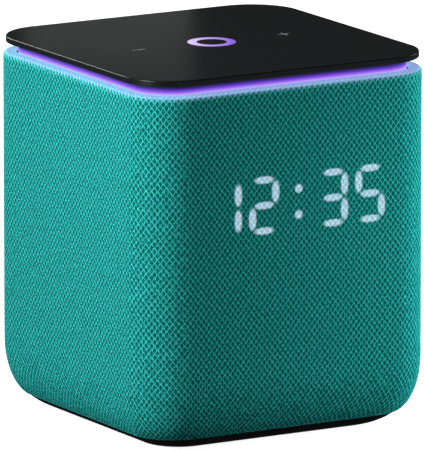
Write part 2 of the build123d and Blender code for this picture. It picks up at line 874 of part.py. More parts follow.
with BuildPart() as display_leds:
    lamps = [(x, y) for x, y, angle in segment_spots()] + [(0, -colon_rise), (0, colon_rise)]
    block(board_face, led_size, led_size, led_height, lamps)
save(display_leds, "display_leds")

for side, face in tweeter_faces.items():
    gap_outer = dome_radius + dome_gap
    gap_inner = dome_radius - dome_wall - dome_gap
    with BuildPart() as tweeter_body:
        disc(face, tweeter_flange_radius, -tweeter_flange)
        disc(face.offset(-tweeter_flange), tweeter_can_radius, -tweeter_depth)
        disc(face, gap_outer, -tweeter_gap_depth, mode=Mode.SUBTRACT)
        disc(face.offset(-tweeter_pole_sink), gap_inner, tweeter_pole_sink - tweeter_gap_depth)
    save(tweeter_body, f"tweeter_body_{side}")

    with BuildPart() as tweeter_dome:
        rim_face = face.offset(-tweeter_sink)
        dome(rim_face, dome_radius, dome_height, dome_wall)
        disc(rim_face, dome_radius, -tweeter_coil)
        disc(rim_face, dome_radius - dome_wall, -tweeter_coil, mode=Mode.SUBTRACT)
    save(tweeter_dome, f"tweeter_dome_{side}")

# ---- Main electronics ----

with BuildPart() as main_board:
    block(Plane.XY.offset(main_board_z), main_board_width, main_board_depth, board_thickness,
          ((0, box_middle),))
    clearance_holes(Plane.XY.offset(main_board_top), standoff_spots, board_thickness)
save(main_board, "main_board")

main_board_face = Plane.XY.offset(main_board_top)
with BuildPart() as board_chips:
    block(main_board_face, processor_width, processor_width, processor_height, (processor_spot,))
    block(main_board_face, amplifier_width, amplifier_width, amplifier_height, (amplifier_spot,))
    block(main_board_face, radio_width, radio_length, radio_height, (radio_spot,))
save(board_chips, "board_chips")

with BuildPart() as heat_sink:
    sink_face = main_board_face.offset(processor_height)
    block(sink_face, sink_width, sink_width, sink_base, (processor_spot,))
    fins = [(processor_spot[0] + fin_pitch * step, processor_spot[1])
            for step in range(-fins_each_way, fins_each_way + 1)]
    block(sink_face, sink_fin, sink_width, sink_height, fins)
save(heat_sink, "heat_sink")

with BuildPart() as ribbon_cables:
    plug_y = main_board_rear - plug_inset
    riser_y = plug_y - ribbon_offset
    ribbon([(riser_y, touch_board_z), (riser_y, main_board_top + ribbon_rise),
            (plug_y, main_board_top + wire_rise), (plug_y, main_board_top)])
    display_back = display_board_thickness - display_board_face
    plug_y = main_board_front + display_plug_inset
    start_z = display_z + display_ribbon_z
    ribbon([(display_back, start_z), (display_back + tweeter_wire_reach, start_z),
            (plug_y, start_z + display_ribbon_drop), (plug_y, main_board_top)])
save(ribbon_cables, "ribbon_cables")

with BuildPart() as speaker_wires:
    tweeter_back = tweeter_depth - bracket_face
    plug_y = main_board_front + tweeter_plug_inset
    for side in (-1, 1):
        wire([(side * tweeter_wire_x, plug_y, main_board_top),
              (side * tweeter_wire_x, plug_y, tweeter_z - tweeter_wire_drop),
              (side * tweeter_x, tweeter_back + tweeter_wire_reach, tweeter_z),
              (side * tweeter_x, tweeter_back, tweeter_z)], wire_bend)
    plug_y = main_board_front + woofer_plug_inset
    terminal_top = driver_z + basket_radius + terminal_rise
    wire([(0, plug_y, main_board_z), (0, plug_y, main_board_z - woofer_wire_drop),
          (*wire_hole, lid_top + wire_over_lid), (*wire_hole, terminal_top)], tight_wire_bend)
save(speaker_wires, "speaker_wires")

with BuildPart() as power_wires:
    board_back = rear_board_face - board_thickness
    plug_y = main_board_rear - plug_inset
    riser_y = box_rear + power_wire_gap
    start_z = rear_z + power_wire_z
    over_z = main_board_top + wire_rise
    for x in power_wire_x:
        wire([(x, board_back, start_z), (x, riser_y, start_z), (x, riser_y, over_z),
              (x, plug_y, over_z), (x, plug_y, main_board_top)], tight_wire_bend)
save(power_wires, "power_wires")

with BuildPart() as antennas:
    block(outward_plane(REAR, inner_half, antenna_z), antenna_width, antenna_height, -antenna_thickness,
          ((-antenna_x, 0), (antenna_x, 0)))
save(antennas, "antennas")

# ---- Rear panel ----

rear_plane = outward_plane(REAR, rear_face, rear_z)
rear_inside = outward_plane(REAR, rear_inner, rear_z)
board_plane = outward_plane(REAR, rear_board_face, rear_z)
socket_spot = ((socket_x, 0),)
button_spot = ((button_x, 0),)
rear_post_spots = ((0, -rear_post_z), (0, rear_post_z))

with BuildPart() as rear_panel:
    plate(rear_inside, rear_flange_width, rear_flange_height, rear_corner + flange_corner_margin, rear_flange)
    plate(rear_inside, rear_width, rear_height, rear_corner, rear_face - rear_inner)
    fillet(rear_panel.faces().sort_by(Axis.Y)[-1].edges(), rear_edge)
    disc(rear_inside, standoff_radius, -rear_board_gap, rear_post_spots)
    disc(rear_plane, socket_radius + socket_fit, -rear_face, socket_spot, Mode.SUBTRACT)
    disc(rear_plane, button_radius + button_clearance, -rear_face, button_spot, Mode.SUBTRACT)
    clearance_holes(rear_inside.offset(rear_flange), flange_screw_spots, rear_flange)
    disc(board_plane, screw_radius + thread_clearance, rear_thread_depth, rear_post_spots, Mode.SUBTRACT)
save(rear_panel, "rear_panel")

with BuildPart() as rear_board:
    block(board_plane, rear_board_width, rear_board_height, -board_thickness)
    clearance_holes(board_plane, rear_post_spots, board_thickness)
save(rear_board, "rear_board")

with BuildPart() as power_socket:
    socket_face = rear_plane.offset(-socket_sink)
    block(board_plane, socket_block, socket_block, rear_board_gap - socket_fit, socket_spot)
    disc(board_plane, socket_radius, rear_face - socket_sink - rear_board_face, socket_spot)
    disc(socket_face, socket_bore, -socket_depth, socket_spot, Mode.SUBTRACT)
    disc(socket_face.offset(-socket_depth), socket_pin, socket_depth - socket_pin_sink, socket_spot)
save(power_socket, "power_socket")

button_seat = rear_inner - button_flange_gap
stem_end = button_seat - button_flange - button_stem
button_plane = outward_plane(REAR, button_seat, rear_z)
with BuildPart() as mute_button:
    disc(button_plane, button_radius, rear_face + button_proud - button_seat, button_spot)
    fillet(mute_button.faces().sort_by(Axis.Y)[-1].edges(), button_edge)
    disc(button_plane, button_flange_radius, -button_flange, button_spot)
    disc(button_plane.offset(-button_flange), button_stem_radius, -button_stem, button_spot)
save(mute_button, "mute_button")

with BuildPart() as mute_switch:
    switch_height = stem_end - button_travel - switch_gap - rear_board_face
    block(board_plane, switch_width, switch_width, switch_height, button_spot)
save(mute_switch, "mute_switch")

with BuildPart() as rear_screws:
    inward = Plane(origin=(0, rear_inner, rear_z), x_dir=(1, 0, 0), z_dir=FRONT)
    screws(inward, flange_screw_spots, rear_screw_length)
    screws(inward.offset(rear_board_gap + board_thickness), rear_post_spots, rear_screw_length)
save(rear_screws, "rear_screws")

# ---- Top ----

glow_half = panel_half - glow_inset
glow_corner = panel_corner - glow_inset
led_board_top = frame_floor_top + led_board_thickness
diffuser_bottom = led_board_top + ring_led_height + diffuser_air
tray_half = glow_half - touch_board_inset
frame_half = inner_half - frame_fit
frame_corner = inner_corner - frame_fit

with BuildPart() as top_frame:
    square(frame_bottom, frame_half, frame_corner, frame_depth)
    square(shell_top, shell_half, wall_corner - shell_depth, frame_lip)
    square(frame_floor_top, glow_half + glow_clearance, glow_corner + glow_clearance, height, Mode.SUBTRACT)
    square(frame_floor_top, tray_half, touch_board_corner, touch_board_z - frame_floor_top)
    square(frame_floor_top, tray_half - tray_wall, touch_board_corner - tray_wall, height, Mode.SUBTRACT)
    square(0, tray_half - tray_ledge, tray_window_corner, height, Mode.SUBTRACT)
    clearance_holes(Plane.XY.offset(frame_floor_top), post_spots, frame_floor)
save(top_frame, "top_frame")

with BuildPart() as chassis_screws:
    screws(Plane.XY.offset(frame_floor_top), post_spots, chassis_screw_length)
    screws(Plane.XY.offset(main_board_top), standoff_spots, chassis_screw_length)
    screws(Plane.XY.offset(lid_top + bracket_thickness), bracket_spots, bracket_thickness + lid_thickness)
save(chassis_screws, "chassis_screws")

with BuildPart() as led_ring_board:
    square(frame_floor_top, glow_half, glow_corner, led_board_thickness)
    square(frame_floor_top, glow_half - led_board_width, touch_board_corner, led_board_thickness,
           Mode.SUBTRACT)
save(led_ring_board, "led_ring_board")

with BuildPart() as ring_leds:
    led_line = glow_half - ring_led_size / 2 - ring_led_margin
    for step in range(ring_leds_per_side):
        along = (step - (ring_leds_per_side - 1) / 2) * ring_led_pitch
        block(Plane.XY.offset(led_board_top), ring_led_length, ring_led_size, ring_led_height,
              ((along, -led_line), (along, led_line)))
        block(Plane.XY.offset(led_board_top), ring_led_size, ring_led_length, ring_led_height,
              ((-led_line, along), (led_line, along)))
save(ring_leds, "ring_leds")

with BuildPart() as light_diffuser:
    square(diffuser_bottom, glow_half, glow_corner, panel_bottom - diffuser_bottom)
    inner_ring = glow_half - diffuser_wall
    square(led_board_top, inner_ring + diffuser_foot, glow_corner - diffuser_wall + diffuser_foot,
           diffuser_bottom - led_board_top)
    square(led_board_top, inner_ring, glow_corner - diffuser_wall, height, Mode.SUBTRACT)
save(light_diffuser, "light_diffuser")

with BuildPart() as touch_board:
    square(touch_board_z, tray_half, touch_board_corner, touch_board_thickness)
    disc(Plane.XY.offset(touch_board_z), mic_hole_radius, touch_board_thickness, mic_spots, Mode.SUBTRACT)
save(touch_board, "touch_board")

with BuildPart() as microphones:
    block(Plane.XY.offset(touch_board_z), mic_width, mic_length, -mic_height, mic_spots)
save(microphones, "microphones")

with BuildPart() as panel_tape:
    square(tape_bottom, tray_half, touch_board_corner, tape_thickness)
    disc(Plane.XY.offset(tape_bottom), ring_outer_radius + tape_ring_gap, tape_thickness, mode=Mode.SUBTRACT)
    disc(Plane.XY.offset(tape_bottom), mic_hole_radius + tape_hole_gap, tape_thickness, mic_spots,
         Mode.SUBTRACT)
save(panel_tape, "panel_tape")

lens_top = height - ring_skin
with BuildPart() as ring_lens:
    disc(Plane.XY.offset(tape_bottom), ring_outer_radius, lens_top - tape_bottom)
    disc(Plane.XY.offset(tape_bottom), ring_inner_radius, lens_top - tape_bottom, mode=Mode.SUBTRACT)
save(ring_lens, "ring_lens")

with BuildPart() as top_panel:
    square(panel_bottom, panel_half, panel_corner, panel_thickness)
    fillet(top_panel.faces().sort_by(Axis.Z)[-1].edges(), panel_top_edge)
    fillet(top_panel.faces().sort_by(Axis.Z)[0].edges(), panel_bottom_edge)
    disc(Plane.XY.offset(panel_bottom), mic_hole_radius, panel_thickness, mic_spots, Mode.SUBTRACT)
    turned(Plane.XY.offset(panel_bottom), [
        (ring_inner_radius - ring_fit, 0),
        (ring_outer_radius + ring_fit, 0),
        (ring_outer_radius + ring_fit, lens_top - panel_bottom),
        (ring_inner_radius - ring_fit, lens_top - panel_bottom),
    ], Mode.SUBTRACT)
save(top_panel, "top_panel")
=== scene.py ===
from math import cos, pi, radians, sin

import bmesh
import bpy
import numpy as np
from mathutils import Matrix, Vector


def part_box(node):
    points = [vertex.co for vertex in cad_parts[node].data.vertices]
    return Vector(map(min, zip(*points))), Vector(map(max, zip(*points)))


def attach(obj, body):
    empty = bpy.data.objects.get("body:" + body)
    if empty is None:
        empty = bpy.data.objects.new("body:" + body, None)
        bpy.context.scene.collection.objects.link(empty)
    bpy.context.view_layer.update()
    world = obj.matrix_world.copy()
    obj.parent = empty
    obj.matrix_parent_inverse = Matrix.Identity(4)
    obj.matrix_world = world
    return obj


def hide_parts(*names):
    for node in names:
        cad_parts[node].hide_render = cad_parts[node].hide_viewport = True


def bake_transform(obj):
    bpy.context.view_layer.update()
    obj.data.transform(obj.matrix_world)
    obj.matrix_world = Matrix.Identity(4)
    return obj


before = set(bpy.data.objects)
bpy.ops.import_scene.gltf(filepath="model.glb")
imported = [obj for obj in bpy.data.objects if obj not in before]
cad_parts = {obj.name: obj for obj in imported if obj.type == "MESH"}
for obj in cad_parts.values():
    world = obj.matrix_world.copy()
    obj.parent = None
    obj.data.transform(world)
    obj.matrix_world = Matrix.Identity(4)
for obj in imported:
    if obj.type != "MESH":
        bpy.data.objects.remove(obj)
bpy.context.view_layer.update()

mm = 0.001

# ---- Acoustic box ----
# The sealed box and its lid, which carry every driver, are injection moulded in glass-filled
# ABS. A rubber gasket is trapped between them and screws pull them together. A block of
# reticulated foam stands at the back of the box and soaks up the sound inside.

abs_grain = 0.45 * mm
abs_relief = 0.04 * mm
rubber_grain = 0.3 * mm
plating_grain = 0.5 * mm
foam_pore = 1.3 * mm
patches_per_metre = 60.0
gloss_spread = 0.06
bump_strength = 0.6


def linear(shade):
    """An sRGB hex colour as linear red, green, blue and alpha."""
    parts = [int(shade[i:i + 2], 16) / 255 for i in (1, 3, 5)]
    return [p / 12.92 if p <= 0.04045 else ((p + 0.055) / 1.055) ** 2.4 for p in parts] + [1.0]


def add(material, kind, inputs, **settings):
    """Add a node. An input is a value, or the output socket that feeds it."""
    made = material.node_tree.nodes.new("ShaderNode" + kind)
    for name, value in settings.items():
        setattr(made, name, value)
    for socket, value in inputs.items():
        if isinstance(value, bpy.types.NodeSocket):
            material.node_tree.links.new(value, made.inputs[socket])
        else:
            made.inputs[socket].default_value = value
    return made


def start(name, roughness=0.5, level=0.5, metallic=0.0):
    """A new material, its shader and its Object coordinates."""
    material = bpy.data.materials.new(name)
    material.use_nodes = True
    shader = material.node_tree.nodes["Principled BSDF"]
    shader.inputs["Roughness"].default_value = roughness
    shader.inputs["Specular IOR Level"].default_value = level
    shader.inputs["Metallic"].default_value = metallic
    return material, shader, add(material, "TexCoord", {}).outputs["Object"]


def feed(material, shader, socket, source):
    """Link a node's output to one of the shader's sockets."""
    material.node_tree.links.new(source, shader.inputs[socket])


def embossed(material, shader, height, relief):
    """Raise the surface by a pattern, up to relief high."""
    bumps = add(material, "Bump", {"Height": height, "Strength": bump_strength, "Distance": relief})
    feed(material, shader, "Normal", bumps.outputs["Normal"])


def grained(name, light, dark, roughness, grain, relief, metallic=0.0, level=0.5):
    """A moulded, cast or plated finish: two close shades in soft patches, and a fine grain."""
    material, shader, place = start(name, level=level, metallic=metallic)
    patches = add(material, "TexNoise", {"Vector": place, "Scale": patches_per_metre, "Detail": 4.0})
    shade = add(material, "Mix", {0: patches.outputs["Fac"], 6: linear(dark), 7: linear(light)},
                data_type="RGBA")
    feed(material, shader, "Base Color", shade.outputs[2])
    grit = add(material, "TexNoise", {"Vector": place, "Scale": 1 / grain, "Detail": 3.0}).outputs["Fac"]
    gloss = add(material, "MapRange", {"Value": grit, "To Min": roughness - gloss_spread,
                                       "To Max": roughness + gloss_spread})
    feed(material, shader, "Roughness", gloss.outputs["Result"])
    embossed(material, shader, grit, relief)
    return material


def dress(material, *names):
    """Give a finish to CAD nodes."""
    for name in names:
        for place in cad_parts[name].material_slots:
            place.material = material


# Glass-filled ABS off a spark-eroded mould: dark grey, with a fine pebble that kills reflections
dress(grained("glass_filled_abs", "#2c2e30", "#232527", 0.6, abs_grain, abs_relief, level=0.35),
      "speaker_box", "box_lid")
# EPDM rubber, die cut: dull, almost black, with a trace of bloom
dress(grained("epdm_rubber", "#1d1e1f", "#151617", 0.85, rubber_grain, 0.02 * mm, level=0.2),
      "box_gasket", "driver_gaskets")

# Reticulated polyurethane: charcoal, matt, and open cells all over; the middle of each cell is painted dark
# as shade in the pore
foam, shader, place = start("reticulated_foam", roughness=0.95, level=0.1)
pores = add(foam, "TexVoronoi", {"Vector": place, "Scale": 1 / foam_pore}).outputs["Distance"]
webs_and_pore_shade = add(foam, "MapRange", {"Value": pores, "From Min": 0.15, "From Max": 0.5}).outputs["Result"]
shade = add(foam, "Mix", {0: webs_and_pore_shade, 6: linear("#0e0f10"), 7: linear("#3b3d40")}, data_type="RGBA").outputs[2]
feed(foam, shader, "Base Color", shade)
embossed(foam, shader, webs_and_pore_shade, 0.5 * mm)
dress(foam, "damping_foam")

# Zinc-plated and passivated steel: a pale metal with faint cloudy patches
zinc = grained("zinc_plated_steel", "#c6c9cc", "#a3a7ab", 0.34, plating_grain, 0.006 * mm, metallic=1.0)
dress(zinc, "box_lid_screws", "driver_screws", "chassis_screws", "base_screws")

# ---- Woofer ----
# The front driver: a pressed steel basket, a ferrite motor, a copper coil on the paper cone,
# a butyl rubber roll round it, and a corrugated cloth spider that keeps the coil centred.

wave_period = pi / 10       # of a Wave texture at a scale of 1, in metres
coil_turn = 0.3 * mm
cloth_thread = 0.55 * mm
pulp_fibre = 0.7 * mm
flex_sectors = 16
weld = 0.001 * mm

# Electrophoretic black lacquer on pressed steel: smooth, half gloss
lacquer = grained("black_lacquered_steel", "#1b1c1e", "#141517", 0.42, 0.8 * mm, 0.01 * mm)
dress(lacquer, "woofer_basket")
# Machined low-carbon steel under zinc, a little greyer than the screws
dress(grained("machined_motor_steel", "#b2b4b6", "#8f9294", 0.38, plating_grain, 0.01 * mm, metallic=1.0),
      "woofer_yoke", "woofer_top_plate")
# Sintered ferrite, ground flat: a dense charcoal ceramic with a granular break
dress(grained("sintered_ferrite", "#47484b", "#2f3033", 0.62, 0.25 * mm, 0.03 * mm, level=0.4),
      "woofer_magnet")

# Enamelled copper wire, close wound: fine hoops along the coil, each turn painted bright on its crest and
# dark in the groove beside it, as painted highlight and painted shade
copper, shader, place = start("enamelled_copper", roughness=0.28, metallic=1.0)
turns_and_groove_shade = add(copper, "TexWave", {"Vector": place, "Scale": wave_period / coil_turn},
            bands_direction="Y").outputs["Fac"]
shade = add(copper, "Mix", {0: turns_and_groove_shade, 6: linear("#6f2c14"), 7: linear("#d97f4d")},
            data_type="RGBA").outputs[2]
feed(copper, shader, "Base Color", shade)
embossed(copper, shader, turns_and_groove_shade, 0.1 * mm)
dress(copper, "woofer_coil")

# Pressed paper pulp, dyed black: matt, with flecks of lighter fibre
pulp, shader, place = start("pressed_paper_pulp", roughness=0.9, level=0.15)
fibre = add(pulp, "TexNoise", {"Vector": place, "Scale": 1 / pulp_fibre, "Detail": 6.0,
                               "Distortion": 2.5}).outputs["Fac"]
flecks = add(pulp, "MapRange", {"Value": fibre, "From Min": 0.45, "From Max": 0.7}).outputs["Result"]
shade = add(pulp, "Mix", {0: flecks, 6: linear("#1d1d1d"), 7: linear("#4b4a47")},
            data_type="RGBA").outputs[2]
feed(pulp, shader, "Base Color", shade)
embossed(pulp, shader, fibre, 0.12 * mm)
dress(pulp, "woofer_cone", "woofer_dust_cap")

# Moulded butyl rubber: soft, dark and a little waxy where it rolls
butyl = grained("butyl_rubber", "#1a1b1c", "#131415", 0.58, rubber_grain, 0.015 * mm, level=0.3)


def woven(name, light, dark, roughness, sheen):
    """Plain-woven cloth lying across Y: threads over and under along X and Z, painted light where they
    cross and with painted shade in the gaps between them.
    """
    material, shader, place = start(name, roughness=roughness, level=0.25)
    shader.inputs["Sheen Weight"].default_value = sheen
    threads = [add(material, "TexWave", {"Vector": place, "Scale": wave_period / cloth_thread},
                   bands_direction=way).outputs["Fac"] for way in "XZ"]
    crossing_and_gap_shade = add(material, "Math", {0: threads[0], 1: threads[1]}, operation="MULTIPLY").outputs[0]
    shade = add(material, "Mix", {0: crossing_and_gap_shade, 6: linear(dark), 7: linear(light)},
                data_type="RGBA").outputs[2]
    feed(material, shader, "Base Color", shade)
    embossed(material, shader, crossing_and_gap_shade, 0.15 * mm)
    return material


# Cotton cloth dipped in phenolic resin: amber brown, stiff, with an open weave
spider_cloth = woven("resin_dipped_cotton", "#b98a3e", "#6d4a1a", 0.6, 0.0)


def finished(name, mesh_data, material, body="speaker"):
    """Turn a bmesh into a piece with its finish, riding on a body if it has only one."""
    mesh = bpy.data.meshes.new(name)
    mesh_data.to_mesh(mesh)
    mesh_data.free()
    mesh.materials.append(material)
    piece = bpy.data.objects.new(name, mesh)
    bpy.context.scene.collection.objects.link(piece)
    if body:
        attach(piece, body)
    return piece


def flexing(name, material, axis):
    """Cut a ring that flexes into sectors, each a piece of its own in place of the CAD ring."""
    low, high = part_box(name)
    middle = (low + high) / 2
    up = Vector((0, 0, 1))
    aside = axis.cross(up)
    for sector in range(flex_sectors):
        first, last = [2 * pi * (sector + step) / flex_sectors for step in (0, 1)]
        wedge = bmesh.new()
        wedge.from_mesh(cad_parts[name].data)
        bmesh.ops.remove_doubles(wedge, verts=wedge.verts, dist=weld)
        for angle, side in ((first, 1), (last, -1)):
            cut = side * (aside * cos(angle) - up * sin(angle))
            bmesh.ops.bisect_plane(wedge, geom=wedge.verts[:] + wedge.edges[:] + wedge.faces[:],
                                   plane_co=middle, plane_no=cut, clear_inner=True)
        bmesh.ops.holes_fill(wedge, edges=[edge for edge in wedge.edges if edge.is_boundary])
        piece = finished(f"{name}_{sector + 1:02d}", wedge, material, body=None)
        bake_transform(piece)
        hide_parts(name)


flexing("woofer_spider", spider_cloth, Vector((0, 1, 0)))
flexing("woofer_surround", butyl, Vector((0, 1, 0)))
flexing("radiator_surround_left", butyl, Vector((1, 0, 0)))
flexing("radiator_surround_right", butyl, Vector((1, 0, 0)))

# ---- Passive radiators ----
# Two weighted steel plates in rubber rolls, one in each side wall of the box. They have no
# motor: the air in the box drives them. Each hangs in a moulded ring that is screwed to the box.

# Black moulded ABS of the smaller parts, with a satin face
frame_abs = grained("moulded_abs", "#232426", "#1b1c1e", 0.5, abs_grain, 0.02 * mm, level=0.4)
for side in ("left", "right"):
    dress(frame_abs, "radiator_frame_" + side)
    dress(lacquer, "radiator_plate_" + side)

# ---- Tweeters and their bracket ----
# Two dome tweeters clipped to a moulded bracket above the woofer, close behind the grille.
# Their domes are woven silk with a tacky damping coat, formed over a coil.

dress(frame_abs, "front_bracket")
silk = woven("coated_silk", "#34343a", "#17171a", 0.5, 0.3)
for side in ("left", "right"):
    dress(frame_abs, "tweeter_body_" + side)
    dress(silk, "tweeter_dome_" + side)

# ---- Circuit boards ----
# Glass-epoxy boards under green or black solder mask: the main board on the box, the rear
# board behind the socket, the display's board, and the LED ring's and touch boards on top.

track_pitch = 1.4 * mm
track_width = 0.3 * mm
track_length = 9.0 * mm
via_pitch = 4.0 * mm
via_reach = 0.09        # as a share of the pitch
draw_lines = (2500, 40, 2500)


def circuit(name, mask, track, turn=0.0):
    """A board: copper tracks show through the glossy solder mask, with tinned vias among them."""
    material, shader, place = start(name, roughness=0.3)
    facing = add(material, "Mapping", {"Vector": place, "Rotation": (turn, 0, 0)}).outputs[0]
    tracks = add(material, "TexBrick", {"Vector": facing, "Scale": 1.0, "Mortar Size": track_width,
                                        "Mortar Smooth": 0.2, "Brick Width": track_length,
                                        "Row Height": track_pitch}, offset=0.37).outputs["Fac"]
    shade = add(material, "Mix", {0: tracks, 6: linear(mask), 7: linear(track)},
                data_type="RGBA").outputs[2]
    spots = add(material, "TexVoronoi", {"Vector": facing, "Scale": 1 / via_pitch},
                voronoi_dimensions="2D").outputs["Distance"]
    vias = add(material, "Math", {0: spots, 1: via_reach}, operation="LESS_THAN").outputs[0]
    tinned = add(material, "Mix", {0: vias, 6: shade, 7: linear("#c9c6b8")}, data_type="RGBA").outputs[2]
    feed(material, shader, "Base Color", tinned)
    feed(material, shader, "Metallic", vias)
    embossed(material, shader, tracks, 0.03 * mm)
    return material


dress(circuit("green_solder_mask", "#0c4a2e", "#17703f"), "main_board")
dress(circuit("black_solder_mask", "#0c0e0d", "#1f2422"), "led_ring_board", "touch_board")
dress(circuit("black_solder_mask_upright", "#0c0e0d", "#1f2422", radians(90)), "display_board",
      "rear_board")
# Moulded epoxy packages: charcoal, with a fine matt grain
epoxy = grained("moulded_epoxy", "#2b2c2d", "#222324", 0.55, 0.2 * mm, 0.01 * mm)
dress(epoxy, "board_chips", "mute_switch")
# Drawn nickel-silver cans of the microphones
dress(grained("nickel_silver_can", "#cfcbbf", "#b6b2a6", 0.3, 0.3 * mm, 0.004 * mm, metallic=1.0),
      "microphones")
# Stamped and tinned brass strip of the radio antennas
dress(grained("tinned_brass", "#cdb98b", "#b39b66", 0.35, 0.3 * mm, 0.005 * mm, metallic=1.0), "antennas")

# Extruded aluminium, clear anodised: pale, with draw lines along the fins
aluminium, shader, place = start("anodised_aluminium", roughness=0.36, metallic=1.0)
stretched = add(aluminium, "Mapping", {"Vector": place, "Scale": draw_lines}).outputs[0]
lines = add(aluminium, "TexNoise", {"Vector": stretched, "Scale": 1.0, "Detail": 2.0}).outputs["Fac"]
shade = add(aluminium, "Mix", {0: lines, 6: linear("#9a9da1"), 7: linear("#d3d5d8")},
            data_type="RGBA").outputs[2]
feed(aluminium, shader, "Base Color", shade)
embossed(aluminium, shader, lines, 0.01 * mm)
dress(aluminium, "heat_sink")

# ---- Wires and ribbons ----
# Stranded wires in a PVC sleeve, in red and black pairs, and flat flexible cables: copper
# tracks between two films of amber polyimide. All are held by the boards that they join.

ribbon_track = 1.0 * mm
skins_per_metre = 900.0


def sleeved(name, red_side):
    """PVC insulation, red on one side of the pair and black on the other."""
    material, shader, place = start(name, roughness=0.35)
    across = add(material, "SeparateXYZ", {"Vector": place}).outputs["X"]
    side = add(material, "Math", {0: across, 1: red_side}, operation="GREATER_THAN").outputs[0]
    shade = add(material, "Mix", {0: side, 6: linear("#131314"), 7: linear("#a01418")},
                data_type="RGBA").outputs[2]
    feed(material, shader, "Base Color", shade)
    skin = add(material, "TexNoise", {"Vector": place, "Scale": skins_per_metre,
                                      "Detail": 2.0}).outputs["Fac"]
    embossed(material, shader, skin, 0.02 * mm)
    return material


power_low, power_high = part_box("power_wires")
dress(sleeved("power_wire_pvc", (power_low.x + power_high.x) / 2), "power_wires")
dress(sleeved("speaker_wire_pvc", 0.0), "speaker_wires")

film, shader, place = start("polyimide_film", roughness=0.25)
stripes = add(film, "TexWave", {"Vector": place, "Scale": wave_period / ribbon_track},
              bands_direction="X").outputs["Fac"]
tracks = add(film, "MapRange", {"Value": stripes, "From Min": 0.4, "From Max": 0.6}).outputs["Result"]
shade = add(film, "Mix", {0: tracks, 6: linear("#a4601a"), 7: linear("#c8843a")},
            data_type="RGBA").outputs[2]
feed(film, shader, "Base Color", shade)
embossed(film, shader, tracks, 0.03 * mm)
dress(film, "ribbon_cables")

# ---- Clock display ----
# Bare LEDs on a board, a white moulded light box with a bar-shaped well over each of them,
# and a sheet of diffusing film in front, close behind the knit.

dress(grained("white_polycarbonate", "#e9eaea", "#dcdddd", 0.45, 0.4 * mm, 0.01 * mm), "display_lightbox")
diffusing = grained("diffusing_film", "#e3e6ea", "#d6d9de", 0.6, 0.15 * mm, 0.01 * mm)
dress(diffusing, "display_film")

# A phosphor drop in a ceramic package: pale yellow in the middle of each LED
phosphor_drop = 0.8 * mm
resin, shader, place = start("phosphor_resin", roughness=0.15)
drops = add(resin, "TexVoronoi", {"Vector": place, "Scale": 1 / phosphor_drop}).outputs["Distance"]
shade = add(resin, "Mix", {0: drops, 6: linear("#efe3a4"), 7: linear("#f3f1e8")},
            data_type="RGBA").outputs[2]
feed(resin, shader, "Base Color", shade)
embossed(resin, shader, drops, 0.02 * mm)
dress(resin, "display_leds", "ring_leds")

# ---- Rear panel, socket and mute button ----
# A black ABS plate, screwed to the box from behind, with the power socket's face, the mute
# button and its collar in it. The socket is a PBT moulding round a plated centre pin.

rear_finish = grained("fine_eroded_abs", "#1e1f22", "#17181b", 0.55, 0.35 * mm, 0.03 * mm, level=0.4)
dress(rear_finish, "rear_panel")
# The button is polished a little smoother than the plate round it, so a finger finds it
dress(grained("satin_abs_button", "#26272b", "#202125", 0.38, 0.5 * mm, 0.008 * mm), "mute_button")
# Black zinc on steel, so that the two screws don't catch the eye
dress(grained("black_zinc_steel", "#3c3d40", "#2b2c2f", 0.36, plating_grain, 0.006 * mm,
              metallic=1.0), "rear_screws")

socket_low, socket_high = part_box("power_socket")
socket_middle = (socket_low + socket_high) / 2
pin_reach = 1.4 * mm
pbt_grains_per_metre = 2500.0
pbt, shader, place = start("pbt_and_nickel", roughness=0.45)
away = add(pbt, "VectorMath", {0: place, 1: (socket_middle.x, 0, socket_middle.z)},
           operation="SUBTRACT").outputs[0]
flat = add(pbt, "VectorMath", {0: away, 1: (1, 0, 1)}, operation="MULTIPLY").outputs[0]
radius = add(pbt, "VectorMath", {0: flat}, operation="LENGTH").outputs[1]
pin = add(pbt, "Math", {0: radius, 1: pin_reach}, operation="LESS_THAN").outputs[0]
shade = add(pbt, "Mix", {0: pin, 6: linear("#161718"), 7: linear("#d9d6cc")}, data_type="RGBA").outputs[2]
feed(pbt, shader, "Base Color", shade)
feed(pbt, shader, "Metallic", pin)
grit = add(pbt, "TexNoise", {"Vector": place, "Scale": pbt_grains_per_metre, "Detail": 2.0}).outputs["Fac"]
embossed(pbt, shader, grit, 0.01 * mm)
dress(pbt, "power_socket")

# ---- Grille shell and top frame ----
# The perforated tube that the knit is pulled over, and the frame across its top that holds
# the LED board, the light band and the touch panel. Both are moulded in black ABS.

dress(frame_abs, "grille_shell", "top_frame")

# ---- Light band ----
# A ring of opal acrylic behind the gap under the top panel, lit from below by the ring of
# LEDs, so it is brightest at the foot and fades to dark under the panel.

hidden_under_panel = 1.2 * mm
panel_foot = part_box("top_panel")[0].z
sleeve_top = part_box("fabric_sleeve")[1].z
band, shader, place = start("opal_acrylic", roughness=0.6, level=0.15)
height = add(band, "SeparateXYZ", {"Vector": place}).outputs["Z"]
rise = add(band, "MapRange", {"Value": height, "From Min": sleeve_top,
                              "From Max": panel_foot - hidden_under_panel}).outputs["Result"]
ramp = add(band, "ValToRGB", {"Fac": rise})
stops = ((0.0, "#c3a6fa"), (0.3, "#9a68ee"), (0.55, "#6a3fce"), (0.8, "#3f2596"), (1.0, "#20163a"))
while len(ramp.color_ramp.elements) < len(stops):
    ramp.color_ramp.elements.new(0.5)
for stop, (position, shade) in zip(ramp.color_ramp.elements, stops):
    stop.position = position
    stop.color = linear(shade)
shader.inputs["Base Color"].default_value = linear("#14121c")
feed(band, shader, "Emission Color", ramp.outputs["Color"])
shader.inputs["Emission Strength"].default_value = 1.0
dress(band, "light_diffuser")

# ---- Top panel ----
# A plate of black acrylic with a satin face and a soft edge. Its back is painted, apart
# from a clear ring window that the ring light shines through; the plus and minus are printed.

